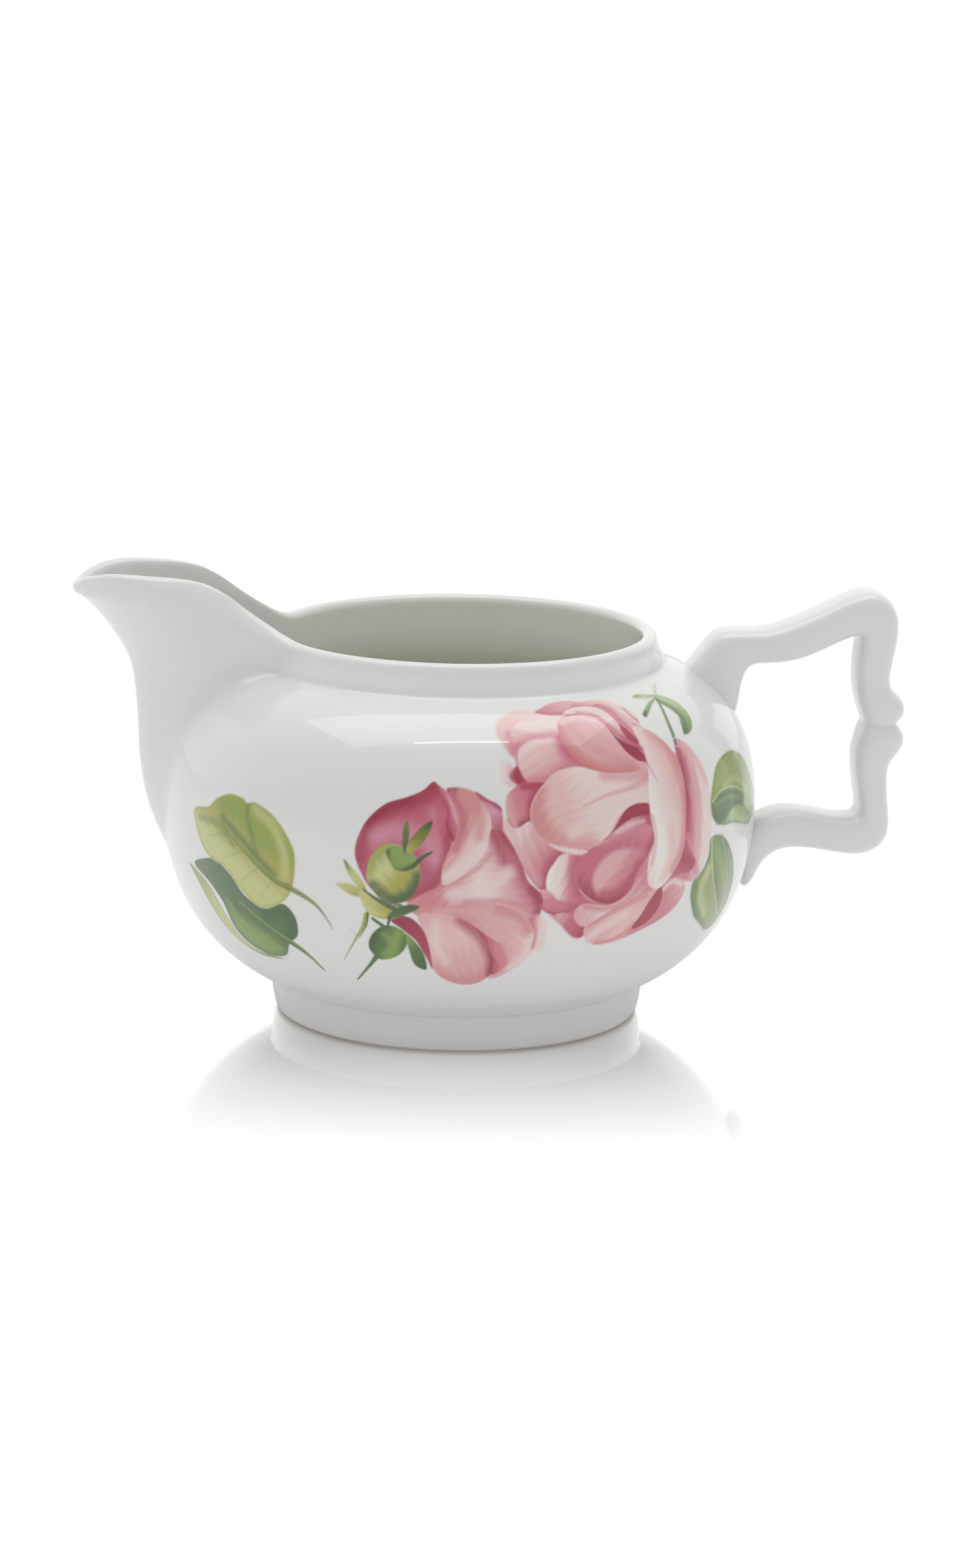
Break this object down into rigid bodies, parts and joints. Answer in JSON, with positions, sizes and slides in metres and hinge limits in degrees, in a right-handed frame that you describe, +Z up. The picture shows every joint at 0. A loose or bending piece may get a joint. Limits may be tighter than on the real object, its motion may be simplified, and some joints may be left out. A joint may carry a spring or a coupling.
{
  "type": "porcelain cream jug",
  "caption": "Round-bellied porcelain cream jug with a wide mouth, raised open spout, scrolled loop handle, low foot ring and painted roses.",
  "frame": {"origin": "middle of the jug's length and width, on the surface that the foot ring stands on", "axes": "+Z up, +X from the spout to the handle, the painted side faces -Y"},
  "size_m": [0.127, 0.09, 0.0681],
  "materials": {
    "white_glaze": "glossy clear glaze over white porcelain, with painted roses and leaves on the belly",
    "foot_glaze": "glossy clear glaze with a bare matt standing edge"
  },
  "bodies": {
    "root": {"bowl": "white_glaze", "spout": "white_glaze", "handle": "white_glaze", "foot_ring": "foot_glaze"}
  },
  "joints": []
}
